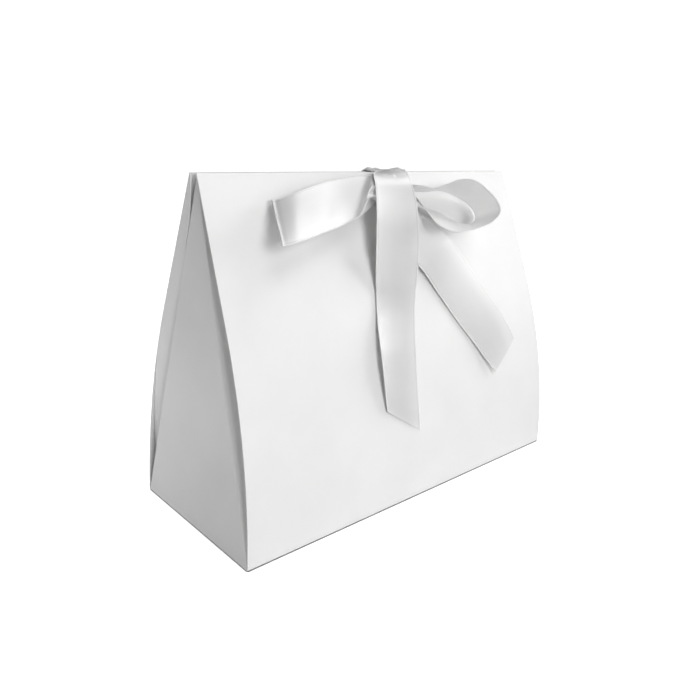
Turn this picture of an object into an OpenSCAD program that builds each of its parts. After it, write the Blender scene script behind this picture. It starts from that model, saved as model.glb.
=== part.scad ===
// Favor box of folded white card with a satin ribbon tied in a bow over its top edge.
// X runs along the box, the front faces -Y, and Z is up from the table under the base.

/* [Box] */

// Length of the base
base_w = 190; // [150:1:240]
// Depth of the base
base_d = 80; // [60:1:110]
// Height of the closed box
height = 142; // [115:1:180]
// Length of the top edges
top_w = 180; // [140:1:230]
// Distance between the outer faces at the top edges
top_gap = 5; // [4:0.5:9]
// Thickness of the card
card = 0.5; // [0.4:0.05:0.8]
// Share by which a panel's flank leans more than the straight line from edge to edge
bow_share = 0.45; // [0.3:0.05:0.6]

/* [Ends] */

// How far the tips of the end panels lie under the top edges
end_drop = 1; // [0.5:0.5:6]
// How far the tip of an end panel leans in over the base
end_in = 6.5; // [5.5:0.5:8]
// Angle by which the front gussets turn in from the end panels
gusset_turn = 35; // [20:1:45]
// How far in from the end the back flaps' fold starts at the base
flap_inset = 5; // [3:0.5:8]
// How far the back flaps' fold leans in over the base
flap_in = 0.6; // [0.2:0.1:1.2]
// Angle by which the back flaps turn in from the end of the box
flap_turn = 16; // [8:1:25]
// Width of a back wing at its foot
wing_w = 11.5; // [8:0.5:16]
// Width of a back wing at its top
wing_top_w = 0.8; // [0.6:0.1:2]
// How far the top of the back wings lies under the top edges
wing_drop = 30; // [24:1:50]

/* [Ribbon] */

// Width of the ribbon
ribbon_w = 25; // [20:1:28]
// Thickness of the ribbon
ribbon_t = 0.4; // [0.3:0.1:0.6]
// Length of the slots that the ribbon passes through
slot_w = 27; // [24:1:34]
// Height of the slots
slot_h = 2.4; // [2:0.2:4]
// Drop from the top edge to the middle of the slots
slot_drop = 12; // [9:0.5:20]

/* [Hidden] */

// Open gap left at every crease between two moving panels
fold_gap = 0.3;
// How far cuts run past what they cut
cut_over = 1;
// Pieces drawn between two rows of a ribbon
band_steps = 3;
// Corners of the knot's rounded section
knot_corners = 12;
// Facets of the bent panels, drawn only on screen
bow_facets = 240;
// Facets of the rounded hinge edge
edge_facets = 24;

// Panel profile: upright at the base, bent to one radius, then a straight flank
hinge_z = card / 2;
hinge_y = base_d / 2 - card / 2;
run = (base_d - top_gap) / 2;
rise = height - hinge_z;
lean = atan(run / rise) * (1 + bow_share);
flank_len = (run - rise * tan(lean / 2)) / (sin(lean) - cos(lean) * tan(lean / 2));
bow_r = (rise - flank_len * cos(lean)) / sin(lean);
bow_x = base_d / 2 - bow_r;
bow_top = hinge_z + bow_r * sin(lean);
bow_reach = 2 * bow_r;

// End panels and wings
end_h = height - end_drop;
wing_h = height - wing_drop;
end_foot = base_d / 2 - card;
flap_top = top_gap / 2 - card - 3 * fold_gap;
end_lean = atan(end_in / end_h);
end_slant = atan(end_foot * cos(end_lean) / end_h);
flap_lean = atan(flap_in / height);
flap_slant = atan((end_foot - flap_top) * cos(flap_lean) / height);
above_base = card + fold_gap;

// Places on the ribbon as shares of its width: [across the box, out from the front
// face, down from the top edge], the two edges of the ribbon in each row.
left_loop_shares = [
    [[-0.50, 0.34, 0.06], [-0.56, 0.40, 0.34]],
    [[-0.58, 0.24, 0.05], [-0.90, 0.46, 0.43]],
    [[-0.79, 0.16, 0.07], [-1.20, 0.52, 0.65]],
    [[-1.21, 0.14, 0.13], [-1.69, 0.60, 0.79]],
    [[-1.78, 0.16, 0.25], [-2.24, 0.66, 0.88]],
    [[-2.38, 0.20, 0.37], [-2.72, 0.71, 0.95]],
    [[-2.48, 0.16, 0.40], [-2.81, 0.64, 0.98]],
    [[-2.38, 0.11, 0.39], [-2.68, 0.56, 0.97]],
    [[-1.69, 0.07, 0.28], [-1.92, 0.32, 0.87]],
    [[-1.08, 0.07, 0.17], [-1.29, 0.24, 0.78]],
    [[-0.71, 0.10, 0.13], [-0.87, 0.22, 0.60]],
    [[-0.50, 0.17, 0.14], [-0.54, 0.22, 0.40]],
];

right_loop_shares = [
    [[0.36, 0.36, 0.20], [0.37, 0.18, 0.14]],
    [[0.56, 0.52, 0.28], [0.82, 0.14, 0.22]],
    [[0.76, 0.66, 0.24], [1.20, 0.10, 0.30]],
    [[1.02, 0.82, 0.12], [1.62, 0.07, 0.38]],
    [[1.32, 0.93, 0.08], [1.92, 0.06, 0.49]],
    [[1.62, 0.98, 0.17], [2.16, 0.06, 0.64]],
    [[1.86, 1.00, 0.40], [2.28, 0.06, 0.80]],
    [[1.92, 1.00, 0.62], [2.27, 0.06, 0.92]],
    [[1.76, 1.00, 0.78], [2.12, 0.06, 1.00]],
    [[1.46, 0.96, 0.90], [1.94, 0.06, 1.01]],
    [[1.13, 0.86, 0.97], [1.70, 0.06, 0.96]],
    [[0.86, 0.72, 0.96], [1.36, 0.09, 0.86]],
    [[0.66, 0.56, 0.84], [0.96, 0.14, 0.70]],
    [[0.50, 0.44, 0.60], [0.66, 0.18, 0.50]],
    [[0.36, 0.36, 0.36], [0.37, 0.20, 0.30]],
];

front_tail_shares = [
    [[-0.35, 0.10, -0.05], [0.30, 0.10, -0.05]],
    [[-0.44, 0.36, -0.05], [0.28, 0.38, -0.04]],
    [[-0.62, 0.52, 0.18], [0.24, 0.54, 0.18]],
    [[-0.69, 0.51, 0.48], [0.26, 0.53, 0.49]],
    [[-0.77, 0.38, 1.14], [0.23, 0.40, 1.18]],
    [[-0.86, 0.22, 2.06], [0.08, 0.26, 2.12]],
    [[-0.84, 0.10, 2.88], [-0.02, 0.20, 2.92]],
    [[-0.84, 0.07, 3.36], [-0.08, 0.13, 3.58]],
    [[-0.86, 0.06, 3.88], [-0.12, 0.08, 4.36]],
];

side_tail_shares = [
    [[0.20, 0.24, 0.48], [-0.10, 0.24, 0.52]],
    [[0.40, 0.30, 0.58], [0.00, 0.28, 0.84]],
    [[0.62, 0.30, 0.70], [0.06, 0.26, 1.12]],
    [[1.03, 0.22, 0.98], [0.28, 0.18, 1.50]],
    [[1.42, 0.14, 1.30], [0.63, 0.10, 1.90]],
    [[2.02, 0.08, 2.09], [1.14, 0.06, 2.58]],
    [[2.50, 0.06, 2.70], [1.70, 0.05, 3.24]],
    [[2.90, 0.05, 3.27], [2.20, 0.05, 3.80]],
];

// Knot: [across the box, size] of its rounded sections, then the full section itself
knot_shares = [[-0.48, 0.50], [-0.40, 0.82], [-0.20, 0.98], [0.04, 1.00], [0.22, 0.86], [0.33, 0.55]];
knot_out_share = 0.27;
knot_deep_share = 0.22;
knot_drop_share = 0.24;
knot_tall_share = 0.25;

// Sub-part to draw, or all of them

card_colour = [0.93, 0.93, 0.93];
ribbon_colour = [0.98, 0.98, 0.97];

// Distance from the middle plane to a panel's outer face at a height
function face_out(z) =
    z < bow_top ? bow_x + sqrt(pow(bow_r, 2) - pow(max(z - hinge_z, 0), 2))
                : top_gap / 2 + max(height - z, 0) * tan(lean);

// Distance from the middle plane to an end panel's slanting edge at a height
function end_fold(z) = end_foot * (1 - z / end_h);

// Distance from the middle plane to a back flap's straight fold line at a height
function flap_fold(z) = end_foot + (flap_top - end_foot) * z / height;

// Point in front of the front face from its shares of the ribbon's width
function on_front(share) =
    let (z = height - share[2] * ribbon_w)
        [share[0] * ribbon_w, -face_out(z) - share[1] * ribbon_w, z];

// Point on a smooth curve through four neighbours, between the two in the middle
function between(a, b, c, d, t) =
    (2 * b + (c - a) * t + (2 * a - 5 * b + 4 * c - d) * t * t
        + (3 * b - a - 3 * c + d) * t * t * t) / 2;

function smooth(points) =
    let (last = len(points) - 1)
        [
            for (i = [0 : last - 1], k = [0 : band_steps - 1])
                between(points[max(i - 1, 0)], points[i], points[i + 1],
                    points[min(i + 2, last)], k / band_steps),
            points[last]
        ];

// Half of the ribbon's thickness, square to the band at one of its rows
function half_thick(left, right, i) =
    let (
        next = min(i + 1, len(left) - 1),
        before = max(i - 1, 0),
        along = left[next] + right[next] - left[before] - right[before],
        up = cross(right[i] - left[i], along)
    )
        up / norm(up) * ribbon_t / 2;

// Two triangles for the side that joins two neighbouring rings
function side_faces(i, k, corners) =
    let (
        a = i * corners + k,
        b = i * corners + (k + 1) % corners
    )
        [[a, a + corners, b + corners], [a, b + corners, b]];

// Triangles of a tube of rings, closed at both ends
function tube_faces(rings, corners) =
    let (last = (rings - 1) * corners)
        [
            for (i = [0 : rings - 2], k = [0 : corners - 1]) each side_faces(i, k, corners),
            for (k = [1 : corners - 2]) each [[0, k, k + 1], [last, last + k + 1, last + k]]
        ];

// A stretch of ribbon between two edges, each given as a list of points
module band(left_points, right_points) {
    left = smooth(left_points);
    right = smooth(right_points);
    rings = len(left);
    points = [
        for (i = [0 : rings - 1])
            let (up = half_thick(left, right, i))
                each [left[i] + up, right[i] + up, right[i] - up, left[i] - up]
    ];
    polyhedron(points, tube_faces(rings, 4));
}

module front_band(rows) {
    band([for (row = rows) on_front(row[0])], [for (row = rows) on_front(row[1])]);
}

// Stretches a profile drawn in the side view along the whole box
module along_box(length = base_w) {
    rotate([90, 0, 90])
        linear_extrude(length, center = true)
            children();
}

// Side view of everything behind a face that lies this deep in a panel's card
module filled_profile(depth) {
    translate([bow_x, hinge_z]) {
        intersection() {
            circle(bow_r - depth, $fn = bow_facets);
            polygon([[0, 0], [bow_reach, 0], [bow_reach, bow_reach * tan(lean)]]);
        }
        rotate(lean)
            flank_area(bow_r - depth, flank_len, base_d);
    }
}

// Area behind the straight flank, seen along it from the bend's centre
module flank_area(face, length, deep) {
    polygon([[face, 0], [face, length], [face - deep, length], [face - deep, -length / 2]]);
}

// Side view of one panel, as for the back of the box
module panel_profile() {
    difference() {
        filled_profile(0);
        translate([bow_x, hinge_z]) {
            circle(bow_r - card, $fn = bow_facets);
            rotate(lean)
                flank_area(bow_r - card, flank_len + cut_over, base_d * 2);
        }
    }
    translate([hinge_y, hinge_z])
        circle(card / 2, $fn = edge_facets);
}

// Front view that gives the panels their slanting side edges
module side_trim() {
    rotate([90, 0, 0])
        linear_extrude(base_d * 2, center = true)
            polygon([[-base_w / 2, 0], [base_w / 2, 0], [top_w / 2, height], [-top_w / 2, height]]);
}

module slot_cut() {
    translate([0, base_d / 4, height - slot_drop])
        cube([slot_w, base_d / 2, slot_h], center = true);
}

// One of the two large panels, as for the back of the box
module large_panel() {
    difference() {
        intersection() {
            along_box() panel_profile();
            side_trim();
        }
        slot_cut();
    }
}

// Sheet of card at the left end that leans in over the base
module end_sheet() {
    translate([-base_w / 2, -base_d / 2, 0])
        rotate([0, end_lean, 0])
            cube([card, base_d, height]);
}

// Sheet of card turned about a straight fold line, which leans in over the base and
// slants along the end, and reaching from one distance to another beside that line
module folded_sheet(place, lean_in, slant, turn, from, to) {
    translate(place)
        rotate([0, lean_in, 0])
            rotate([-slant, 0, 0])
                rotate([0, 0, turn])
                    translate([0, from, -base_d / 2])
                        cube([card, to - from, height + base_d]);
}

// Side view of the space behind one panel from the base up to the end panels' tips
module gusset_profile() {
    intersection() {
        filled_profile(card);
        translate([0, above_base])
            square([base_d, end_h - above_base]);
    }
}

// Stretch of a back flap, given by the distances that it spans beside its fold line
module flap_sheet(from, to) {
    folded_sheet(
        [flap_inset - base_w / 2, end_foot, 0], flap_lean, -flap_slant, flap_turn, from, to
    );
}

module left_end() {
    intersection() {
        end_sheet();
        along_box()
            polygon([[-end_fold(fold_gap), fold_gap], [end_fold(fold_gap), fold_gap], [0, end_h]]);
    }
}

module left_wing() {
    intersection() {
        flap_sheet(-base_d, -fold_gap / 2);
        along_box()
            polygon([
                [flap_fold(above_base) - wing_w, above_base], [base_d, above_base],
                [base_d, wing_h], [flap_fold(wing_h) - wing_top_w, wing_h]
            ]);
    }
}

module base_panel() {
    color(card_colour)
        translate([0, 0, card / 2])
            cube([base_w - 2 * above_base, base_d - 2 * above_base, card], center = true);
}

module front_panel() {
    color(card_colour)
        mirror([0, 1, 0])
            large_panel();
}

module back_panel() {
    color(card_colour)
        large_panel();
}

module front_left_gusset() {
    edge_gap = fold_gap + card * sin(gusset_turn);
    color(card_colour)
        intersection() {
            folded_sheet(
                [-base_w / 2, -end_foot, 0], end_lean, end_slant, gusset_turn, -base_d, -edge_gap
            );
            mirror([0, 1, 0])
                along_box() gusset_profile();
        }
}

module front_right_gusset() {
    color(card_colour)
        mirror([1, 0, 0])
            front_left_gusset();
}

module back_left_gusset() {
    color(card_colour)
        intersection() {
            flap_sheet(fold_gap / 2, base_d);
            along_box() gusset_profile();
        }
}

module back_right_gusset() {
    color(card_colour)
        mirror([1, 0, 0])
            back_left_gusset();
}

module left_end_panel() {
    color(card_colour)
        left_end();
}

module right_end_panel() {
    color(card_colour)
        mirror([1, 0, 0])
            left_end();
}

module back_left_wing() {
    color(card_colour)
        left_wing();
}

module back_right_wing() {
    color(card_colour)
        mirror([1, 0, 0])
            left_wing();
}

// Gathered middle of the bow, a rounded lump whose sections run along the top edge
module knot() {
    points = [
        for (section = knot_shares, k = [0 : knot_corners - 1])
            let (turn = 360 * k / knot_corners)
                on_front([
                    section[0],
                    knot_out_share + knot_deep_share * section[1] * cos(turn),
                    knot_drop_share + knot_tall_share * section[1] * sin(turn)
                ])
    ];
    color(ribbon_colour)
        polyhedron(points, tube_faces(len(knot_shares), knot_corners));
}

module left_loop() {
    color(ribbon_colour)
        front_band(left_loop_shares);
}

module right_loop() {
    color(ribbon_colour)
        front_band(right_loop_shares);
}

module front_tail() {
    color(ribbon_colour)
        front_band(front_tail_shares);
}

module side_tail() {
    color(ribbon_colour)
        front_band(side_tail_shares);
}

// Ribbon run with both edges at the same heights, from [y, z] places in the side view
module strap(places) {
    band([for (p = places) [-ribbon_w / 2, p[0], p[1]]], [for (p = places) [ribbon_w / 2, p[0], p[1]]]);
}

slot_z = height - slot_drop;
strap_clear = fold_gap + ribbon_t / 2;

// From the knot down to the front slot and in through it
module front_strap() {
    color(ribbon_colour)
        strap([
            [-face_out(slot_z) - ribbon_t, slot_z + ribbon_t],
            [-face_out(slot_z) + card, slot_z],
            [-fold_gap, slot_z]
        ]);
}

// From inside through the back slot, up the back and over both top edges to the knot
module back_strap() {
    color(ribbon_colour)
        strap([
            [fold_gap, slot_z],
            [face_out(slot_z) - card, slot_z],
            [face_out(slot_z) + strap_clear, slot_z + slot_h / 2],
            [face_out(height) + 2 * strap_clear, height - strap_clear],
            [face_out(height) - strap_clear, height + 2 * strap_clear],
            [-face_out(height) + card, height + 2 * strap_clear]
        ]);
}

base_panel();
front_panel();
front_left_gusset();
front_right_gusset();
back_panel();
back_left_gusset();
back_right_gusset();
left_end_panel();
right_end_panel();
back_left_wing();
back_right_wing();
knot();
left_loop();
right_loop();
front_tail();
side_tail();
front_strap();
back_strap();
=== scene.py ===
import math
import bpy
import bmesh
from mathutils import Matrix, Vector


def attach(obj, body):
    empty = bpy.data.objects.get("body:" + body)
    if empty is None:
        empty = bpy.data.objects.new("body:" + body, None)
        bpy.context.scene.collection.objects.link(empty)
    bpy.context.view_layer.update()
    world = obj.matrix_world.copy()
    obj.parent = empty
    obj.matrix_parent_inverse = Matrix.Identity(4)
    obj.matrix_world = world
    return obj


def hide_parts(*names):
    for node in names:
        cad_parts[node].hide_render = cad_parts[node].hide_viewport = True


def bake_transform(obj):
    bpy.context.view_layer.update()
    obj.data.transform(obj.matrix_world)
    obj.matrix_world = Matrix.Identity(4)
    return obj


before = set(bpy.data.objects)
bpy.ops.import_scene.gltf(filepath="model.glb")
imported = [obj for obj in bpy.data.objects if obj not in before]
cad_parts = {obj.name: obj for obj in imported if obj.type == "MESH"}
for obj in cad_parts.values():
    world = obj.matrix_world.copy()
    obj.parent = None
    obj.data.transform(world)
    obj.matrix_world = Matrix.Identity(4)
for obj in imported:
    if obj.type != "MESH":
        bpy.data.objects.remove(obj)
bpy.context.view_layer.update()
millimetre = 0.001
sharpAngle = 38  # edges that turn by more degrees stay crisp

cameraFit = {
    "place": (-0.2145, -0.2236, 0.1557),
    "azimuth": 42.291,
    "elevation": 17.34,
    "roll": 2.115,
    "lens": 34.87,
    "sensor": 36,
    "nearest": 0.01,
}


def placeCamera():
    azimuth = math.radians(cameraFit["azimuth"])
    elevation = math.radians(cameraFit["elevation"])
    roll = math.radians(cameraFit["roll"])
    back = Vector((
        -math.sin(azimuth) * math.cos(elevation),
        -math.cos(azimuth) * math.cos(elevation),
        math.sin(elevation),
    ))
    right = Vector((math.cos(azimuth), -math.sin(azimuth), 0))
    up = back.cross(right)
    right = right * math.cos(roll) + up * math.sin(roll)
    up = back.cross(right)
    data = bpy.data.cameras.new("camera")
    data.lens = cameraFit["lens"]
    data.sensor_width = cameraFit["sensor"]
    data.clip_start = cameraFit["nearest"]
    camera = bpy.data.objects.new("camera", data)
    camera.matrix_world = Matrix((
        (right.x, up.x, back.x, cameraFit["place"][0]),
        (right.y, up.y, back.y, cameraFit["place"][1]),
        (right.z, up.z, back.z, cameraFit["place"][2]),
        (0, 0, 0, 1),
    ))
    bpy.context.scene.collection.objects.link(camera)
    bpy.context.scene.camera = camera


placeCamera()
print("camera placed")


def newMaterial(name):
    material = bpy.data.materials.new(name)
    material.use_nodes = True
    nodes = material.node_tree.nodes
    nodes.clear()
    output = nodes.new("ShaderNodeOutputMaterial")
    shader = nodes.new("ShaderNodeBsdfPrincipled")
    material.node_tree.links.new(shader.outputs["BSDF"], output.inputs["Surface"])
    return material, nodes, material.node_tree.links, shader


def noiseNode(nodes, links, source, scale, detail, roughness):
    noise = nodes.new("ShaderNodeTexNoise")
    noise.inputs["Scale"].default_value = scale
    noise.inputs["Detail"].default_value = detail
    noise.inputs["Roughness"].default_value = roughness
    links.new(source, noise.inputs["Vector"])
    return noise.outputs["Fac"]


def asColour(level):
    # A colour or a grey level, with its alpha.
    return (*level, 1) if isinstance(level, tuple) else (level, level, level, 1)


def rampNode(nodes, links, source, low, high, start=0.3, end=0.7):
    ramp = nodes.new("ShaderNodeValToRGB")
    for mark, place, level in zip(ramp.color_ramp.elements, (start, end), (low, high)):
        mark.position = place
        mark.color = asColour(level)
    links.new(source, ramp.inputs["Fac"])
    return ramp.outputs["Color"]


def bumpNode(nodes, links, height, distance, strength, under=None):
    bump = nodes.new("ShaderNodeBump")
    bump.inputs["Strength"].default_value = strength
    bump.inputs["Distance"].default_value = distance
    links.new(height, bump.inputs["Height"])
    if under is not None:
        links.new(under, bump.inputs["Normal"])
    return bump.outputs["Normal"]


def calcNode(nodes, links, operation, *values):
    # A sum of sockets and plain numbers.
    node = nodes.new("ShaderNodeMath")
    node.operation = operation
    for socket, value in zip(node.inputs, values):
        if isinstance(value, (int, float)):
            socket.default_value = value
        else:
            links.new(value, socket)
    return node.outputs[0]


def uvNode(nodes, name):
    place = nodes.new("ShaderNodeUVMap")
    place.uv_map = name
    return place.outputs["UV"]


def scaledNode(nodes, links, source, scale):
    mapping = nodes.new("ShaderNodeMapping")
    mapping.inputs["Scale"].default_value = scale
    links.new(source, mapping.inputs["Vector"])
    return mapping.outputs["Vector"]


cardFinish = {
    "dim": (0.865, 0.865, 0.862),
    "bright": (0.895, 0.895, 0.892),
    "cloud": (45, 3, 0.5),  # noise: scale, detail, roughness
    "fibre": (900, 5, 0.65),
    "roughness": (0.46, 0.56),
    "sizing": 0.42,
    "cloudBump": (0.0004, 0.15),  # depth in metres, strength
    "fibreBump": (0.00006, 0.35),
}


def makeCard():
    material, nodes, links, shader = newMaterial("cardWhite")
    place = nodes.new("ShaderNodeTexCoord").outputs["Object"]
    cloud = noiseNode(nodes, links, place, *cardFinish["cloud"])
    fibre = noiseNode(nodes, links, place, *cardFinish["fibre"])
    tone = rampNode(nodes, links, cloud, cardFinish["dim"], cardFinish["bright"])
    links.new(tone, shader.inputs["Base Color"])
    links.new(rampNode(nodes, links, fibre, *cardFinish["roughness"]), shader.inputs["Roughness"])
    shader.inputs["Specular IOR Level"].default_value = cardFinish["sizing"]
    soft = bumpNode(nodes, links, cloud, *cardFinish["cloudBump"])
    links.new(bumpNode(nodes, links, fibre, *cardFinish["fibreBump"], soft), shader.inputs["Normal"])
    return material


cutEdgeFinish = {
    "dim": (0.84, 0.838, 0.83),
    "bright": (0.93, 0.93, 0.925),
    "fibre": (2600, 4, 0.7),
    "roughness": 0.8,
    "bump": (0.0001, 0.5),
}


def makeCardEdge():
    material, nodes, links, shader = newMaterial("cardCutEdge")
    place = nodes.new("ShaderNodeTexCoord").outputs["Object"]
    fibre = noiseNode(nodes, links, place, *cutEdgeFinish["fibre"])
    tone = rampNode(nodes, links, fibre, cutEdgeFinish["dim"], cutEdgeFinish["bright"])
    links.new(tone, shader.inputs["Base Color"])
    shader.inputs["Roughness"].default_value = cutEdgeFinish["roughness"]
    links.new(bumpNode(nodes, links, fibre, *cutEdgeFinish["bump"]), shader.inputs["Normal"])
    return material


satinFinish = {
    "base": (0.955, 0.955, 0.95),
    "shade": (0.94, 0.94, 0.935),
    "shadeRange": (0.2, 0.6),
    # painted shade: the colour and place of a darker line just inside each selvedge
    "grooveAndShade": (0.8, 0.8, 0.795),
    "selvedgeShadeMarks": ((0.448, 0), (0.458, 1), (0.468, 1), (0.476, 0)),  # shares of the width from the middle
    "threadPitch": 0.00016,
    "threadAlong": 0.12,  # how slowly a thread's tone changes along it
    "thread": (1.0, 2, 0.6),
    "slubScale": (260, 40, 1),
    "slub": (1.0, 2, 0.5),
    "slubBump": (0.00005, 0.15),
    "threadBump": (0.00003, 0.3),
    "gloss": (0.33, 0.41),
    "shine": 1.75,
    "specular": 0.9,
    "anisotropy": 0.45,
    "sheen": 0.15,
    "throughLight": 0.5,
    "throughDepth": 0.004,
}


def selvedgeShadeNode(nodes, links):
    # Painted shade: a darker line just inside each selvedge, by the share of the ribbon's width.
    across = nodes.new("ShaderNodeSeparateXYZ")
    links.new(uvNode(nodes, "share"), across.inputs[0])
    fromMiddle = calcNode(nodes, links, "SUBTRACT", across.outputs["X"], 0.5)
    edge = calcNode(nodes, links, "ABSOLUTE", fromMiddle)
    grooveAndShade = nodes.new("ShaderNodeValToRGB")
    marks = grooveAndShade.color_ramp.elements
    for i, (place, level) in enumerate(satinFinish["selvedgeShadeMarks"]):
        mark = marks[i] if i < 2 else marks.new(place)
        mark.position = place
        mark.color = asColour(level)
    links.new(edge, grooveAndShade.inputs["Fac"])
    return grooveAndShade.outputs["Color"]


def makeSatin():
    material, nodes, links, shader = newMaterial("satinWhite")
    flat = uvNode(nodes, "cut")
    pitch = satinFinish["threadPitch"]
    threadPlace = scaledNode(nodes, links, flat, (1 / pitch, satinFinish["threadAlong"] / pitch, 1))
    thread = noiseNode(nodes, links, threadPlace, *satinFinish["thread"])
    slubPlace = scaledNode(nodes, links, flat, satinFinish["slubScale"])
    slub = noiseNode(nodes, links, slubPlace, *satinFinish["slub"])
    tone = rampNode(nodes, links, slub, satinFinish["shade"], satinFinish["base"], *satinFinish["shadeRange"])
    # mixes the painted shade line inside each selvedge into the satin's colour
    cloth = nodes.new("ShaderNodeMix")
    cloth.data_type = "RGBA"
    links.new(selvedgeShadeNode(nodes, links), cloth.inputs["Factor"])
    links.new(tone, cloth.inputs["A"])
    cloth.inputs["B"].default_value = asColour(satinFinish["grooveAndShade"])
    links.new(cloth.outputs["Result"], shader.inputs["Base Color"])
    links.new(rampNode(nodes, links, thread, *satinFinish["gloss"]), shader.inputs["Roughness"])
    shader.inputs["Anisotropic"].default_value = satinFinish["anisotropy"]
    shader.inputs["Sheen Weight"].default_value = satinFinish["sheen"]
    shader.inputs["Subsurface Weight"].default_value = satinFinish["throughLight"]
    shader.inputs["Subsurface Radius"].default_value = (1, 1, 1)
    shader.inputs["Subsurface Scale"].default_value = satinFinish["throughDepth"]
    shader.inputs["Specular IOR Level"].default_value = satinFinish["specular"]
    shader.inputs["IOR"].default_value = satinFinish["shine"]
    tangent = nodes.new("ShaderNodeTangent")
    tangent.direction_type = "UV_MAP"
    tangent.uv_map = "cut"
    links.new(tangent.outputs["Tangent"], shader.inputs["Tangent"])
    soft = bumpNode(nodes, links, slub, *satinFinish["slubBump"])
    links.new(bumpNode(nodes, links, thread, *satinFinish["threadBump"], soft), shader.inputs["Normal"])
    return material


threadFinish = {
    "dim": (0.9, 0.9, 0.895),
    "bright": (0.97, 0.97, 0.965),
    "twist": (5200, 2, 0.5),
    "roughness": 0.45,
    "sheen": 0.3,
    "bump": (0.00005, 0.4),
}


def makeThread():
    material, nodes, links, shader = newMaterial("selvedgeThread")
    place = nodes.new("ShaderNodeTexCoord").outputs["Object"]
    twist = noiseNode(nodes, links, place, *threadFinish["twist"])
    tone = rampNode(nodes, links, twist, threadFinish["dim"], threadFinish["bright"])
    links.new(tone, shader.inputs["Base Color"])
    shader.inputs["Roughness"].default_value = threadFinish["roughness"]
    shader.inputs["Sheen Weight"].default_value = threadFinish["sheen"]
    links.new(bumpNode(nodes, links, twist, *threadFinish["bump"]), shader.inputs["Normal"])
    return material


cardWhite = makeCard()
cardCutEdge = makeCardEdge()
satinWhite = makeSatin()
selvedgeThread = makeThread()
print("materials made")


def newPiece(name, mesh, *materials):
    piece = bpy.data.objects.new(name, mesh)
    bpy.context.scene.collection.objects.link(piece)
    mesh.materials.clear()
    for material in materials:
        mesh.materials.append(material)
    return piece


def settle(piece):
    # Applies the piece's modifiers, so that its mesh is final.
    bpy.context.view_layer.update()
    depsgraph = bpy.context.evaluated_depsgraph_get()
    mesh = bpy.data.meshes.new_from_object(piece.evaluated_get(depsgraph))
    piece.modifiers.clear()
    mesh.set_sharp_from_angle(angle=math.radians(sharpAngle))
    old = piece.data
    piece.data = mesh
    mesh.name = piece.name
    bpy.data.meshes.remove(old)


def gridMesh(name, rows, skip=()):
    # Open surface through rows of points in mm, with its own flat measure as UV in metres.
    mesh = bpy.data.meshes.new(name)
    build = bmesh.new()
    flat = build.loops.layers.uv.new("cut")
    share = build.loops.layers.uv.new("share")
    points = [[build.verts.new(Vector(p) * millimetre) for p in row] for row in rows]
    along = [0]
    middle = len(rows[0]) // 2
    for before, row in zip(rows, rows[1:]):
        along.append(along[-1] + (Vector(row[middle]) - Vector(before[middle])).length * millimetre)
    across = []
    for row in rows:
        run = [0]
        for a, b in zip(row, row[1:]):
            run.append(run[-1] + (Vector(b) - Vector(a)).length * millimetre)
        across.append(run)
    for i in range(len(rows) - 1):
        for k in range(len(rows[0]) - 1):
            if (i, k) in skip:
                continue
            corners = ((i, k), (i, k + 1), (i + 1, k + 1), (i + 1, k))
            face = build.faces.new([points[r][c] for r, c in corners])
            face.smooth = True
            for loop, (r, c) in zip(face.loops, corners):
                loop[flat].uv = (across[r][c], along[r])
                loop[share].uv = (c / (len(rows[0]) - 1), r / (len(rows) - 1))
    build.to_mesh(mesh)
    build.free()
    return mesh


def turnFaces(mesh):
    build = bmesh.new()
    build.from_mesh(mesh)
    bmesh.ops.reverse_faces(build, faces=build.faces)
    build.to_mesh(mesh)
    build.free()


def thicken(piece, thickness, offset=-1.0, rim=0):
    solid = piece.modifiers.new("thickness", "SOLIDIFY")
    solid.thickness = thickness * millimetre
    solid.offset = offset
    solid.use_rim = True
    solid.material_offset_rim = rim


def steps(start, end, count):
    return [start + (end - start) * i / (count - 1) for i in range(count)]


def easeStep(value):
    value = min(max(value, 0), 1)
    return value * value * (3 - 2 * value)


box = {
    "baseWidth": 190, "baseDepth": 80, "height": 142, "topWidth": 180, "topGap": 5,
    "card": 0.5, "bowShare": 0.45, "foot": 0.6, "footAngles": (30, 60, 90), "aboveBase": 0.8,
    "slotWidth": 27, "slotHeight": 2.4, "slotDrop": 12,
    "columns": 44, "slotColumns": 8, "rows": 56, "rowsAboveSlot": 5, "baseColumns": 20, "baseRows": 10,
    "creaseOut": 0.7, "creaseIn": 0.2, "creaseTop": 1.2,  # where a panel bends when it folds
}
hingeHeight = box["card"] / 2
bendRun = (box["baseDepth"] - box["topGap"]) / 2
bendRise = box["height"] - hingeHeight
bendLean = math.atan(bendRun / bendRise) * (1 + box["bowShare"])
flankLength = (bendRun - bendRise * math.tan(bendLean / 2)) / (
    math.sin(bendLean) - math.cos(bendLean) * math.tan(bendLean / 2))
bendRadius = (bendRise - flankLength * math.cos(bendLean)) / math.sin(bendLean)
bendCentre = box["baseDepth"] / 2 - bendRadius
bendTop = hingeHeight + bendRadius * math.sin(bendLean)


def faceOut(z, depth=0):
    # Distance from the middle plane to a large panel's face, or to a layer deeper in its card.
    edge = hingeHeight + (bendRadius - depth) * math.sin(bendLean)
    if z < edge:
        return bendCentre + math.sqrt((bendRadius - depth) ** 2 - max(z - hingeHeight, 0) ** 2)
    return box["topGap"] / 2 + max(box["height"] - z, 0) * math.tan(bendLean) - depth / math.cos(bendLean)


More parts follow.
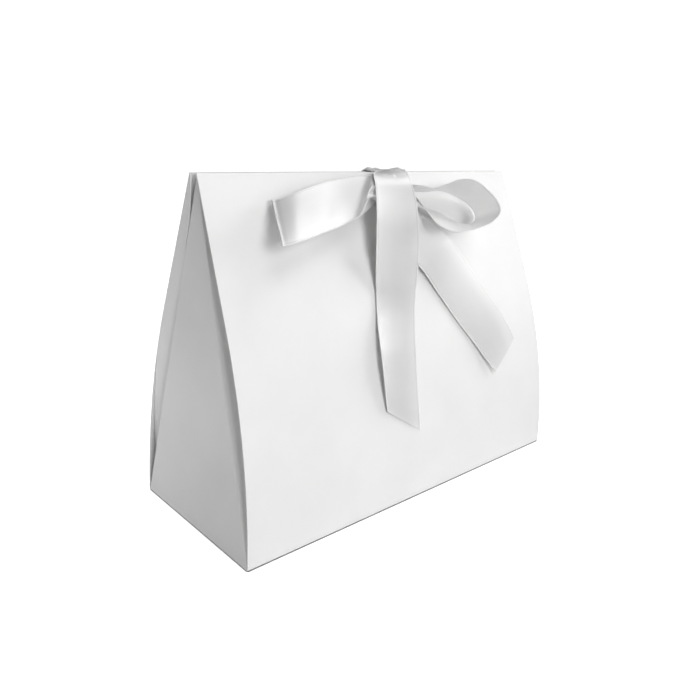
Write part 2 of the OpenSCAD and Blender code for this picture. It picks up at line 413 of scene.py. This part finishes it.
def bendCardTree():
    # Bends a flat card blank, drawn in shares of its half width and heights in metres, to the panel's rule.
    tree = bpy.data.node_groups.new("bendCard", "GeometryNodeTree")
    tree.interface.new_socket("Blank", in_out="INPUT", socket_type="NodeSocketGeometry")
    sizes = {
        "Base Half Width": box["baseWidth"] / 2 * millimetre,
        "Top Half Width": box["topWidth"] / 2 * millimetre,
        "Height": box["height"] * millimetre,
        "Bend Radius": bendRadius * millimetre,
        "Bend Centre": bendCentre * millimetre,
        "Bend Start": hingeHeight * millimetre,
        "Bend End": bendTop * millimetre,
        "Top Half Gap": box["topGap"] / 2 * millimetre,
        "Lean Slope": math.tan(bendLean),
        "Side": 1.0,
    }
    for name, value in sizes.items():
        socket = tree.interface.new_socket(name, in_out="INPUT", socket_type="NodeSocketFloat")
        socket.default_value = value
    tree.interface.new_socket("Card Material", in_out="INPUT", socket_type="NodeSocketMaterial")
    tree.interface.new_socket("Panel", in_out="OUTPUT", socket_type="NodeSocketGeometry")
    nodes, links = tree.nodes, tree.links
    start = nodes.new("NodeGroupInput")
    end = nodes.new("NodeGroupOutput")

    def calc(operation, *values):
        return calcNode(nodes, links, operation, *values)

    given = start.outputs
    place = nodes.new("ShaderNodeSeparateXYZ")
    links.new(nodes.new("GeometryNodeInputPosition").outputs[0], place.inputs[0])
    share, z = place.outputs["X"], place.outputs["Z"]
    lost = calc("SUBTRACT", given["Base Half Width"], given["Top Half Width"])
    narrowing = calc("MULTIPLY", lost, calc("DIVIDE", z, given["Height"]))
    x = calc("MULTIPLY", share, calc("SUBTRACT", given["Base Half Width"], narrowing))
    climbed = calc("MAXIMUM", calc("SUBTRACT", z, given["Bend Start"]), 0)
    chord = calc("SUBTRACT", calc("POWER", given["Bend Radius"], 2), calc("POWER", climbed, 2))
    bent = calc("ADD", given["Bend Centre"], calc("SQRT", chord))
    left = calc("MAXIMUM", calc("SUBTRACT", given["Height"], z), 0)
    flank = calc("ADD", given["Top Half Gap"], calc("MULTIPLY", left, given["Lean Slope"]))
    onFlank = calc("GREATER_THAN", z, given["Bend End"])
    onBend = calc("SUBTRACT", 1, onFlank)
    depth = calc("ADD", calc("MULTIPLY", flank, onFlank), calc("MULTIPLY", bent, onBend))
    y = calc("MULTIPLY", depth, given["Side"])
    together = nodes.new("ShaderNodeCombineXYZ")
    for socket, value in zip(together.inputs, (x, y, z)):
        links.new(value, socket)
    move = nodes.new("GeometryNodeSetPosition")
    links.new(given["Blank"], move.inputs["Geometry"])
    links.new(together.outputs[0], move.inputs["Position"])
    real = nodes.new("GeometryNodeRealizeInstances")
    links.new(move.outputs[0], real.inputs[0])
    paint = nodes.new("GeometryNodeSetMaterial")
    links.new(real.outputs[0], paint.inputs["Geometry"])
    links.new(given["Card Material"], paint.inputs["Material"])
    links.new(paint.outputs[0], end.inputs[0])
    return tree


bendCard = bendCardTree()


def runTree(piece, tree, **values):
    modifier = piece.modifiers.new(tree.name, "NODES")
    modifier.node_group = tree
    named = {item.name: item.identifier for item in tree.interface.items_tree if item.in_out == "INPUT"}
    for name, value in values.items():
        modifier[named[name.replace("_", " ")]] = value
    settle(piece)


def largePanel(name, side, nodeName):
    slotZ = box["height"] - box["slotDrop"]
    halfAtSlot = (box["baseWidth"] - (box["baseWidth"] - box["topWidth"]) * slotZ / box["height"]) / 2
    slotShare = box["slotWidth"] / 2 / halfAtSlot
    low, high = slotZ - box["slotHeight"] / 2, slotZ + box["slotHeight"] / 2
    beside = (box["columns"] - box["slotColumns"]) // 2 + 1
    shares = (steps(-1, -slotShare, beside) + steps(-slotShare, slotShare, box["slotColumns"] + 1)[1:]
              + steps(slotShare, 1, beside)[1:])
    heights = steps(box["foot"], low, box["rows"]) + steps(high, box["height"], box["rowsAboveSlot"])
    slotRow = box["rows"] - 1
    slot = {(slotRow, k) for k in range(len(shares) - 1) if abs(shares[k] + shares[k + 1]) / 2 < slotShare}
    rows = [[(s / millimetre, 0, z) for s in shares] for z in heights]
    panel = newPiece(name, gridMesh(name, rows, slot), cardWhite)
    runTree(panel, bendCard, Side=float(side), Card_Material=cardWhite)
    addFoot(panel, side)
    panel.data.materials.append(cardCutEdge)
    thicken(panel, box["card"], rim=1)
    settle(panel)
    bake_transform(panel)
    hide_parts(nodeName)


def addFoot(panel, side):
    # Rounds the panel's lower edge into the base's crease, and turns its faces outwards.
    foot, outer = box["foot"], box["baseDepth"] / 2
    profile = []
    for angle in box["footAngles"]:
        turn = math.radians(angle)
        profile.append((outer - foot + foot * math.cos(turn), foot - foot * math.sin(turn)))
    profile.append((outer - box["aboveBase"], 0))
    build = bmesh.new()
    build.from_mesh(panel.data)
    lowest = sorted((v for v in build.verts if v.co.z < 2 * foot * millimetre), key=lambda v: v.co.x)
    for y, z in profile:
        fresh = [build.verts.new((v.co.x, side * y * millimetre, z * millimetre)) for v in lowest]
        for k in range(len(lowest) - 1):
            face = build.faces.new((lowest[k], fresh[k], fresh[k + 1], lowest[k + 1]))
            face.smooth = True
        lowest = fresh
    bmesh.ops.recalc_face_normals(build, faces=build.faces)
    highest = max(build.faces, key=lambda f: f.calc_center_median().z)
    if highest.normal.y * side < 0:
        bmesh.ops.reverse_faces(build, faces=build.faces)
    build.to_mesh(panel.data)
    build.free()


largePanel("frontPanel", -1, "front_panel")
largePanel("backPanel", 1, "back_panel")
print("large panels bent")


def basePlate():
    x, y = box["baseWidth"] / 2 - box["aboveBase"], box["baseDepth"] / 2 - box["aboveBase"]
    rows = [[(a, b, 0) for a in steps(-x, x, box["baseColumns"])] for b in steps(y, -y, box["baseRows"])]
    plate = newPiece("basePanel", gridMesh("basePanel", rows), cardWhite, cardCutEdge)
    thicken(plate, box["card"], rim=1)
    settle(plate)
    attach(plate, "base")
    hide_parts("base_panel")


basePlate()

ends = {
    "drop": 1, "leanIn": 6.5, "gussetTurn": 35, "trim": 0.25, "panelClear": 0.02, "leastGusset": 0.02,
    "softCrease": 0.5, "softOfEnd": 0.45, "softOfGusset": 0.8,  # reach, and the most of each side's width
    "blendReach": 0.5,
    "rows": 60, "gussetColumns": 5, "creaseColumns": 9, "endColumns": 9,
}
endHeight = box["height"] - ends["drop"]
endFoot = box["baseDepth"] / 2 - box["card"]


def endFold(z):
    return endFoot * (1 - z / endHeight)


def creaseFrame(leanIn, slant, turn):
    # Fold line's direction, and the level direction in the sheet turned about it.
    toWorld = Matrix.Rotation(leanIn, 3, "Y") @ Matrix.Rotation(-slant, 3, "X")
    axis = toWorld @ Vector((0, 0, 1))
    sheet = toWorld @ Matrix.Rotation(math.radians(turn), 3, "Z") @ Vector((0, -1, 0))
    level = sheet - axis * (sheet.z / axis.z)
    return axis, sheet, level


def reachInside(start, level, z, side):
    # How far along a level direction the inner face of a large panel is.
    target = side * (faceOut(z, box["card"]) - ends["panelClear"])
    return (target - start.y) / level.y


def mirrored(rows, side):
    return [[(p[0] * side, p[1], p[2]) for p in row] for row in rows]


def cardPiece(name, rows, side, low, across, nodeNames):
    # Folded card for the left or the right end, mirrored to its side and thickened.
    mesh = gridMesh(name, mirrored(rows, side))
    if side > 0:
        turnFaces(mesh)
    piece = newPiece(name, mesh, cardWhite, cardCutEdge)
    thicken(piece, box["card"], rim=1)
    settle(piece)
    start, end = low - across, low + across
    for point in (start, end):
        point.x *= side
    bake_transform(piece)
    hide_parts(*nodeNames)


def endSheet(name, side, body, *nodeNames):
    # Front gusset, soft crease and end triangle in one piece of card.
    leanIn = math.atan(ends["leanIn"] / endHeight)
    slant = math.atan(endFoot * math.cos(leanIn) / endHeight)
    axis, sheet, level = creaseFrame(leanIn, slant, ends["gussetTurn"])
    rows = []
    for z in steps(ends["trim"], endHeight - ends["trim"], ends["rows"]):
        x = -box["baseWidth"] / 2 + ends["leanIn"] * z / endHeight
        crease = Vector((x, -endFold(z), z))
        reach = max(reachInside(crease, level, z, -1), ends["leastGusset"])
        soft = min(ends["softCrease"], ends["softOfEnd"] * 2 * endFold(z),
                   ends["softOfGusset"] * reach * level.length)
        outer = crease + level * reach
        inGusset = crease + level * (soft / level.length)
        inEnd = crease + Vector((0, soft, 0))
        row = [outer.lerp(inGusset, t) for t in steps(0, 1, ends["gussetColumns"])]
        for t in steps(0, 1, ends["creaseColumns"])[1:]:
            row.append(inGusset * (1 - t) ** 2 + crease * (2 * t * (1 - t)) + inEnd * t * t)
        rear = Vector((x, endFold(z), z))
        row += [inEnd.lerp(rear, t) for t in steps(0, 1, ends["endColumns"])[1:]]
        rows.append([tuple(p) for p in row])
    across = (Vector((0, 1, 0)) - axis * axis.y).normalized()
    low = Vector((-box["baseWidth"] / 2, -endFoot, 0))
    cardPiece(name, rows, side, low, across * ends["blendReach"], nodeNames)


endSheet("leftEnd", 1, "left_end", "front_left_gusset", "left_end_panel")
endSheet("rightEnd", -1, "right_end", "front_right_gusset", "right_end_panel")

flap = {
    "inset": 5, "leanIn": 0.6, "turn": 16, "topClear": 0.9, "blendReach": 0.4, "columns": 22,
    "freeAtTop": 1.8, "freeSlope": 0.176,  # how far the free edge is from the middle plane
    "clearOfEnd": 0.4, "clearFrom": 106, "clearOver": 8, "leastWidth": 0.05,
}
flapTop = box["topGap"] / 2 - box["card"] - flap["topClear"]


def flapSheet(name, side, body, *nodeNames):
    # Back gusset and the wing that tucks in behind the end triangle, in one piece of card.
    leanIn = math.atan(flap["leanIn"] / box["height"])
    slant = -math.atan((endFoot - flapTop) * math.cos(leanIn) / box["height"])
    axis, sheet, level = creaseFrame(leanIn, slant, flap["turn"])
    low = Vector((-box["baseWidth"] / 2 + flap["inset"], endFoot, 0))
    rows = []
    for z in steps(box["aboveBase"], endHeight, ends["rows"]):
        fold = low + axis * (z / axis.z)
        back = fold + level * reachInside(fold, level, z, 1)
        free = flap["freeAtTop"] + flap["freeSlope"] * (endHeight - z)
        hidden = max(free, endFold(z) + flap["clearOfEnd"])
        free += (hidden - free) * easeStep((z - flap["clearFrom"]) / flap["clearOver"])
        free = min(free, back.y - flap["leastWidth"])
        front = fold + level * ((free - fold.y) / level.y)
        rows.append([tuple(back.lerp(front, t)) for t in steps(0, 1, flap["columns"])])
    cardPiece(name, rows, side, low, sheet * flap["blendReach"], nodeNames)


flapSheet("leftFlap", 1, "left_wing", "back_left_gusset", "back_left_wing")
flapSheet("rightFlap", -1, "right_wing", "back_right_gusset", "back_right_wing")
print("ends and flaps folded")

ribbon = {"width": 25, "thickness": 0.3, "steps": 10, "columns": 20}


def onFront(share):
    # Point in front of the front face, from shares of the ribbon's width: across, out, down.
    z = box["height"] - share[2] * ribbon["width"]
    return Vector((share[0] * ribbon["width"], -faceOut(z) - share[1] * ribbon["width"], z))


def between(a, b, c, d, t):
    # Point at share t from b to c, on a smooth curve through all four.
    slope, curve, twist = c - a, 2 * a - 5 * b + 4 * c - d, 3 * b - a - 3 * c + d
    return (2 * b + slope * t + curve * t * t + twist * t ** 3) / 2


def smoothPath(points, count):
    last = len(points) - 1
    path = []
    for i in range(last):
        a, b, c, d = points[max(i - 1, 0)], points[i], points[i + 1], points[min(i + 2, last)]
        path += [between(a, b, c, d, k / count) for k in range(count)]
    return path + [points[last]]


def lengths(path):
    run = [0]
    for a, b in zip(path, path[1:]):
        run.append(run[-1] + (b - a).length)
    return run


def ribbonRows(left, right, settings):
    # Rows across the ribbon between two edge paths, with its hollow, soft waves and pleats.
    middle = [(a + b) / 2 for a, b in zip(left, right)]
    run = lengths(middle)
    total = run[-1]
    rows = []
    for i, (a, b) in enumerate(zip(left, right)):
        before, after = middle[max(i - 1, 0)], middle[min(i + 1, len(middle) - 1)]
        up = (b - a).cross(after - before).normalized()
        row = []
        for u in steps(0, 1, ribbon["columns"] + 1):
            lift = settings.get("hollow", 0) * 4 * u * (1 - u)
            for place, spread, centre, width, amount in settings.get("waves", ()):
                lift += (amount * math.exp(-((run[i] - place) / spread) ** 2)
                         * math.exp(-((u - centre) / width) ** 2))
            for end, spread, count, amount, phase in settings.get("pleats", ()):
                away = abs(run[i] - end * total) / spread
                lift += amount * math.exp(-away * away) * math.sin(2 * math.pi * (count * u + phase))
            row.append(tuple(a.lerp(b, u) + up * lift))
        rows.append(row)
    return rows, total


selvedge = {
    "pitch": 0.00082, "stitchLength": 0.0005, "stitchWidth": 0.0007,
    "smallest": 0.85, "largest": 1.12, "seed": 7,
    "inset": 0.013,  # share of the ribbon's width
}


def selvedgeTree():
    # Small stitches along a path, each turned along it.
    tree = bpy.data.node_groups.new("selvedgeStitches", "GeometryNodeTree")
    tree.interface.new_socket("Edge", in_out="INPUT", socket_type="NodeSocketGeometry")
    for name, key in (("Pitch", "pitch"), ("Stitch Length", "stitchLength"), ("Stitch Width", "stitchWidth")):
        socket = tree.interface.new_socket(name, in_out="INPUT", socket_type="NodeSocketFloat")
        socket.default_value = selvedge[key]
    seed = tree.interface.new_socket("Seed", in_out="INPUT", socket_type="NodeSocketInt")
    seed.default_value = selvedge["seed"]
    tree.interface.new_socket("Thread Material", in_out="INPUT", socket_type="NodeSocketMaterial")
    tree.interface.new_socket("Stitches", in_out="OUTPUT", socket_type="NodeSocketGeometry")
    nodes, links = tree.nodes, tree.links
    start = nodes.new("NodeGroupInput")
    end = nodes.new("NodeGroupOutput")
    curve = nodes.new("GeometryNodeMeshToCurve")
    links.new(start.outputs["Edge"], curve.inputs["Mesh"])
    spots = nodes.new("GeometryNodeCurveToPoints")
    spots.mode = "LENGTH"
    links.new(curve.outputs[0], spots.inputs["Curve"])
    links.new(start.outputs["Pitch"], spots.inputs["Length"])
    bead = nodes.new("GeometryNodeMeshIcoSphere")
    bead.inputs["Radius"].default_value = 0.5
    bead.inputs["Subdivisions"].default_value = 1
    soft = nodes.new("GeometryNodeSetShadeSmooth")
    links.new(bead.outputs["Mesh"], soft.inputs["Geometry"])
    size = nodes.new("ShaderNodeCombineXYZ")
    links.new(start.outputs["Stitch Width"], size.inputs["X"])
    links.new(start.outputs["Stitch Width"], size.inputs["Y"])
    links.new(start.outputs["Stitch Length"], size.inputs["Z"])
    vary = nodes.new("FunctionNodeRandomValue")
    vary.data_type = "FLOAT"
    vary.inputs[2].default_value = selvedge["smallest"]
    vary.inputs[3].default_value = selvedge["largest"]
    links.new(start.outputs["Seed"], vary.inputs["Seed"])
    scaled = nodes.new("ShaderNodeVectorMath")
    scaled.operation = "SCALE"
    links.new(size.outputs[0], scaled.inputs[0])
    links.new(vary.outputs[1], scaled.inputs["Scale"])
    place = nodes.new("GeometryNodeInstanceOnPoints")
    links.new(spots.outputs["Points"], place.inputs["Points"])
    links.new(spots.outputs["Rotation"], place.inputs["Rotation"])
    links.new(soft.outputs[0], place.inputs["Instance"])
    links.new(scaled.outputs[0], place.inputs["Scale"])
    real = nodes.new("GeometryNodeRealizeInstances")
    links.new(place.outputs[0], real.inputs[0])
    paint = nodes.new("GeometryNodeSetMaterial")
    links.new(real.outputs[0], paint.inputs["Geometry"])
    links.new(start.outputs["Thread Material"], paint.inputs["Material"])
    links.new(paint.outputs[0], end.inputs[0])
    return tree


selvedgeStitches = selvedgeTree()


def stitchEdges(name, rows, body):
    # Selvedge stitches on both long edges of a ribbon.
    mesh = bpy.data.meshes.new(name)
    points, edges = [], []
    for column in (0, -1):
        first = len(points)
        for row in rows:
            edge, other = Vector(row[column]), Vector(row[-1 - column])
            points.append(edge.lerp(other, selvedge["inset"]) * millimetre)
        edges += [(first + i, first + i + 1) for i in range(len(rows) - 1)]
    mesh.from_pydata(points, edges, [])
    stitches = newPiece(name, mesh)
    runTree(stitches, selvedgeStitches, Seed=selvedge["seed"], Thread_Material=selvedgeThread)
    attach(stitches, body)
    return stitches


def ribbonPiece(name, rows, body, nodeName):
    mesh = gridMesh(name, rows)
    piece = newPiece(name, mesh, satinWhite)
    thicken(piece, ribbon["thickness"], 0.0)
    settle(piece)
    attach(piece, body)
    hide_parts(nodeName)
    stitches = stitchEdges(name + "Selvedge", rows, body)


def frontRibbon(name, settings, nodeName):
    left = smoothPath([onFront(row[0]) for row in settings["shares"]], ribbon["steps"])
    right = smoothPath([onFront(row[1]) for row in settings["shares"]], ribbon["steps"])
    rows, total = ribbonRows(left, right, settings)
    print(name, "is", round(total, 1), "mm long along its middle")
    ribbonPiece(name, rows, "front", nodeName)


# Rows of a ribbon's two edges, in shares of its width: across, out from the face, down from the top.
leftLoop = {
    "cutLength": 118,
    "hollow": 0.3,
    "waves": [(22, 7, 0.62, 0.35, 0.5), (34, 8, 0.4, 0.4, -0.35)],
    "pleats": [(0, 6, 1.5, 0.5, 0.1), (1, 6, 1.5, 0.5, 0.3)],
    "shares": [
        [[-0.462, 0.380, 0.105], [-0.559, 0.400, 0.355]],
        [[-0.472, 0.350, 0.083], [-0.820, 0.460, 0.390]],
        [[-0.469, 0.300, 0.054], [-1.103, 0.560, 0.579]],
        [[-0.531, 0.220, 0.034], [-1.133, 0.460, 0.654]],
        [[-0.804, 0.190, 0.050], [-1.318, 0.440, 0.724]],
        [[-1.224, 0.180, 0.098], [-1.622, 0.490, 0.789]],
        [[-1.582, 0.200, 0.164], [-1.956, 0.560, 0.838]],
        [[-1.895, 0.220, 0.228], [-2.262, 0.610, 0.884]],
        [[-2.160, 0.220, 0.300], [-2.524, 0.660, 0.917]],
        [[-2.358, 0.180, 0.360], [-2.713, 0.660, 0.945]],
        [[-2.448, 0.135, 0.387], [-2.797, 0.650, 0.954]],
        [[-2.501, 0.155, 0.383], [-2.842, 0.670, 0.951]],
        [[-2.507, 0.135, 0.381], [-2.843, 0.645, 0.955]],
        [[-2.407, 0.095, 0.372], [-2.736, 0.560, 0.953]],
        [[-2.098, 0.080, 0.310], [-2.369, 0.430, 0.928]],
        [[-1.674, 0.070, 0.226], [-1.930, 0.330, 0.852]],
        [[-1.063, 0.070, 0.112], [-1.332, 0.270, 0.771]],
        [[-0.787, 0.080, 0.097], [-1.026, 0.250, 0.712]],
        [[-0.576, 0.100, 0.089], [-0.847, 0.260, 0.645]],
        [[-0.428, 0.130, 0.121], [-0.641, 0.250, 0.560]],
        [[-0.273, 0.150, 0.171], [-0.431, 0.220, 0.461]],
    ],
}
rightLoop = {
    "cutLength": 105,
    "hollow": 0.2,
    "pleats": [(0, 6, 1.5, 0.4, 0.1), (1, 6, 1.5, 0.4, 0.4)],
    "shares": [
        [[0.323, 0.360, 0.181], [0.466, 0.180, 0.323]],
        [[0.344, 0.460, 0.181], [0.656, 0.170, 0.333]],
        [[0.463, 0.580, 0.201], [0.954, 0.140, 0.338]],
        [[0.602, 0.680, 0.230], [1.271, 0.110, 0.319]],
        [[0.861, 0.750, 0.168], [1.607, 0.080, 0.364]],
        [[1.219, 0.820, 0.079], [1.883, 0.065, 0.463]],
        [[1.559, 0.860, 0.100], [2.141, 0.060, 0.593]],
        [[1.787, 0.930, 0.262], [2.289, 0.060, 0.736]],
        [[1.905, 1.000, 0.440], [2.312, 0.060, 0.858]],
        [[1.891, 1.040, 0.627], [2.215, 0.060, 0.947]],
        [[1.645, 1.020, 0.791], [2.005, 0.060, 0.998]],
        [[1.319, 0.940, 0.895], [1.780, 0.060, 0.949]],
        [[1.042, 0.850, 0.944], [1.523, 0.060, 0.841]],
        [[0.813, 0.790, 0.958], [1.313, 0.070, 0.746]],
        [[0.610, 0.730, 0.895], [1.125, 0.080, 0.686]],
        [[0.487, 0.660, 0.797], [0.950, 0.100, 0.650]],
        [[0.456, 0.550, 0.634], [0.779, 0.130, 0.575]],
        [[0.439, 0.450, 0.509], [0.621, 0.160, 0.473]],
        [[0.430, 0.360, 0.400], [0.441, 0.180, 0.398]],
    ],
}
frontTail = {
    "cutLength": 123,
    "hollow": 0.5,
    "waves": [(2.5, 5, 0.5, 0.17, -1.2), (2.5, 5, 0.76, 0.17, -1.5)],
    "shares": [
        [[0.015, -0.020, -0.011], [0.616, -0.020, -0.019]],
        [[-0.297, 0.200, -0.012], [0.449, 0.200, -0.036]],
        [[-0.479, 0.350, 0.037], [0.379, 0.340, 0.027]],
        [[-0.567, 0.440, 0.178], [0.303, 0.450, 0.167]],
        [[-0.645, 0.470, 0.409], [0.297, 0.480, 0.436]],
        [[-0.714, 0.450, 0.721], [0.264, 0.460, 0.750]],
        [[-0.740, 0.330, 1.141], [0.268, 0.350, 1.185]],
        [[-0.722, 0.170, 1.545], [0.274, 0.200, 1.582]],
        [[-0.717, 0.060, 1.883], [0.228, 0.090, 1.932]],
        [[-0.778, 0.040, 2.185], [0.132, 0.050, 2.249]],
        [[-0.889, 0.100, 2.527], [0.009, 0.070, 2.601]],
        [[-0.957, 0.150, 2.908], [-0.082, 0.090, 3.008]],
        [[-0.945, 0.120, 3.379], [-0.147, 0.100, 3.566]],
        [[-0.882, 0.050, 3.863], [-0.094, 0.050, 4.389]],
    ],
}
sideTail = {
    "cutLength": 100,
    "hollow": 0.3,
    "shares": [
        [[0.489, 0.240, 0.614], [0.158, 0.240, 0.685]],
        [[0.531, 0.300, 0.686], [0.032, 0.280, 1.103]],
        [[0.818, 0.260, 0.812], [0.209, 0.160, 1.414]],
        [[1.273, 0.160, 1.118], [0.511, 0.080, 1.710]],
        [[1.644, 0.090, 1.495], [0.793, 0.050, 2.104]],
        [[2.121, 0.040, 2.130], [1.165, 0.035, 2.624]],
        [[2.503, 0.060, 2.641], [1.573, 0.045, 3.117]],
        [[2.737, 0.140, 3.185], [2.071, 0.100, 3.754]],
    ],
}
frontRibbon("bowLeftLoop", leftLoop, "left_loop")
frontRibbon("bowRightLoop", rightLoop, "right_loop")
frontRibbon("bowFrontTail", frontTail, "front_tail")
frontRibbon("bowSideTail", sideTail, "side_tail")
print("bow tied")

knotSettings = {
    # Places along the knot, in shares of the ribbon's width, with the share of its thickness there.
    "sections": [(-0.56, 0.50), (-0.44, 0.85), (-0.20, 0.98), (0.04, 1.00), (0.22, 0.86), (0.33, 0.55)],
    "out": 0.24, "deep": 0.17, "drop": 0.24, "tall": 0.25,
    "wraps": 4, "wrapSlant": 0.25, "grooveAndShade": 0.07,
    "around": 40, "along": 60, "clothStep": (0.0004, 0.0009),
}


def knotSize(place):
    sections = knotSettings["sections"]
    for (a, sizeA), (b, sizeB) in zip(sections, sections[1:]):
        if place <= b:
            return sizeA + (sizeB - sizeA) * easeStep((place - a) / (b - a))
    return sections[-1][1]


def knotLump():
    k = knotSettings
    first, last = k["sections"][0][0], k["sections"][-1][0]
    mesh = bpy.data.meshes.new("bowKnot")
    build = bmesh.new()
    flat = build.loops.layers.uv.new("cut")
    rings = []
    for t in steps(0, 1, k["along"] + 1):
        place = first + (last - first) * t
        size = knotSize(place)
        ring = []
        for j in range(k["around"]):
            angle = 2 * math.pi * j / k["around"]
            wrap = math.cos(2 * math.pi * (k["wraps"] * t + k["wrapSlant"] * math.sin(angle)))
            ridge = 1 - k["grooveAndShade"] * (1 + wrap) / 2
            out = k["out"] + k["deep"] * size * ridge * math.cos(angle)
            drop = k["drop"] + k["tall"] * size * ridge * math.sin(angle)
            ring.append(build.verts.new(onFront((place, out, drop)) * millimetre))
        rings.append(ring)
    for i in range(k["along"]):
        for j in range(k["around"]):
            n = (j + 1) % k["around"]
            face = build.faces.new((rings[i][j], rings[i][n], rings[i + 1][n], rings[i + 1][j]))
            face.smooth = True
            for loop, (a, b) in zip(face.loops, ((i, j), (i, j + 1), (i + 1, j + 1), (i + 1, j))):
                loop[flat].uv = (a * k["clothStep"][0], b * k["clothStep"][1])
    build.faces.new(list(reversed(rings[0])))
    build.faces.new(rings[-1])
    bmesh.ops.recalc_face_normals(build, faces=build.faces)
    build.to_mesh(mesh)
    build.free()
    knot = newPiece("bowKnot", mesh, satinWhite)
    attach(knot, "front")
    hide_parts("knot")


knotLump()

strap = {
    "edgeIn": 0.3,  # narrower than the ribbon by this on each side
    "clear": 0.5,
    "frontLength": 10,  # with the part that is tied into the knot
    "waves": [(22.5, 2.2, 0.12, 0.1, -0.9), (22.8, 2, 0.36, 0.1, -0.7)],  # lumps over the top edges
}


def strapPiece(name, body, nodeName, places, settings):
    # Places give depth, height and the left and right edge's distance from the middle.
    left = smoothPath([Vector((p[2], p[0], p[1])) for p in places], ribbon["steps"])
    right = smoothPath([Vector((p[3], p[0], p[1])) for p in places], ribbon["steps"])
    rows, total = ribbonRows(left, right, settings)
    print(name, "is", round(total, 1), "mm long")
    ribbonPiece(name, rows, body, nodeName)


def layStraps():
    # Routes chosen, in mm from the slots, the top edges and the ribbon's edges.
    half = ribbon["width"] / 2 - strap["edgeIn"]
    clear, top = strap["clear"], box["height"]
    slotZ = top - box["slotDrop"]
    atSlot, atTop = faceOut(slotZ), faceOut(top)
    strapPiece("frontStrap", "front", "front_strap", [
        (-atSlot - 0.4, slotZ + 0.4, -half, half),
        (-atSlot + clear, slotZ, -half, half),
        (-0.4, slotZ, -half, half),
    ], {})
    strapPiece("backStrap", "back", "back_strap", [
        (0.4, slotZ, -half, half),
        (atSlot - clear, slotZ, -half, half),
        (atSlot + clear, slotZ + 1.2, -half, half),
        (faceOut(top - 5) + clear, top - 5, -half + 3, half - 0.3),
        (atTop + 2 * clear, top - clear, -half + 6.6, half - 0.7),
        (atTop - clear, top + 0.7, -half + 7.6, half),
        (0.5, top + 0.55, -half + 8, half + 1.5),
        (-atTop + 0.9, top + 0.35, -half + 8.2, half + 1.5),
    ], strap)


layStraps()
print("straps laid")

studio = {
    "world": 0.03, "backdrop": 1.05,
    "floorReach": 6, "floorDrop": 0.0002, "floorAlbedo": 0.8, "floorGlow": 1.0,
    # painted contact shadow: the floor's colour is darkened close to the box
    "contactShadeReach": 0.0015, "contactShadeTones": (0.05, 1.0, 0.4, 0.85),  # thin dark line where the box stands
    "lights": {  # place, aim, size, power
        "keyRight": ((1.94, -0.53, 0.62), (0, 0, 0.07), (0.96, 0.96), 18.0),
        "topRight": ((1.48, -0.27, 1.87), (0, 0, 0.07), (1.26, 1.26), 18.0),
        "topFront": ((-0.15, -0.72, 1.1), (0, 0, 0.07), (0.6, 0.6), 3.2),
        "front": ((-0.2, -1.2, 0.44), (0, 0, 0.07), (0.5, 0.5), 6.4),
        "backLeft": ((-0.62, 0.79, 0.05), (0, 0, 0.07), (0.9, 0.07), 1.3),
        "lowLeft": ((-0.215, 0.085, 0.014), (-0.095, 0, 0.03), (0.12, 0.02), 0.05),
    },
}


def showCamera(nodes, links, output, unseen, seen):
    # The camera sees one shader, and the other lights the box.
    which = nodes.new("ShaderNodeMixShader")
    links.new(nodes.new("ShaderNodeLightPath").outputs["Is Camera Ray"], which.inputs[0])
    links.new(unseen.outputs[0], which.inputs[1])
    links.new(seen.outputs[0], which.inputs[2])
    links.new(which.outputs[0], output.inputs["Surface"])


def makeFloor():
    reach = studio["floorReach"]
    corners = [(x, y, 0) for x, y in ((-reach, -reach), (reach, -reach), (reach, reach), (-reach, reach))]
    mesh = bpy.data.meshes.new("floor")
    mesh.from_pydata(corners, [], [(0, 1, 2, 3)])
    material = bpy.data.materials.new("floorPale")
    material.use_nodes = True
    nodes, links = material.node_tree.nodes, material.node_tree.links
    nodes.clear()
    output = nodes.new("ShaderNodeOutputMaterial")
    # Painted contact shadow: an occlusion node darkens the floor's colour close to the box.
    near = nodes.new("ShaderNodeAmbientOcclusion")
    near.inputs["Distance"].default_value = studio["contactShadeReach"]
    contactShade = rampNode(nodes, links, near.outputs["AO"], *studio["contactShadeTones"])
    plain = nodes.new("ShaderNodeBsdfDiffuse")
    links.new(contactShade, plain.inputs["Color"])
    glow = nodes.new("ShaderNodeEmission")
    glow.inputs["Strength"].default_value = studio["floorGlow"]
    links.new(contactShade, glow.inputs["Color"])
    seen = nodes.new("ShaderNodeAddShader")
    links.new(plain.outputs[0], seen.inputs[0])
    links.new(glow.outputs[0], seen.inputs[1])
    bounce = nodes.new("ShaderNodeBsdfDiffuse")
    bounce.inputs["Color"].default_value = asColour(studio["floorAlbedo"])
    showCamera(nodes, links, output, bounce, seen)
    floor = newPiece("floor", mesh, material)
    floor.location.z = -studio["floorDrop"]


def makeWorld():
    world = bpy.data.worlds.new("studio")
    bpy.context.scene.world = world
    world.use_nodes = True
    nodes, links = world.node_tree.nodes, world.node_tree.links
    nodes.clear()
    output = nodes.new("ShaderNodeOutputWorld")
    shaders = []
    for strength in (studio["world"], studio["backdrop"]):
        shader = nodes.new("ShaderNodeBackground")
        shader.inputs["Color"].default_value = (1, 1, 1, 1)
        shader.inputs["Strength"].default_value = strength
        shaders.append(shader)
    showCamera(nodes, links, output, *shaders)


def softLight(name, place, target, size, power):
    data = bpy.data.lights.new(name, "AREA")
    data.shape = "RECTANGLE"
    data.size, data.size_y = size
    data.energy = power
    lamp = bpy.data.objects.new(name, data)
    lamp.location = place
    lamp.rotation_euler = (Vector(target) - Vector(place)).to_track_quat("-Z", "Y").to_euler()
    bpy.context.scene.collection.objects.link(lamp)


makeFloor()
makeWorld()
bpy.context.scene.view_settings.view_transform = "Standard"
for name, (place, target, size, power) in studio["lights"].items():
    softLight(name, place, target, size, power)
print("studio lit")
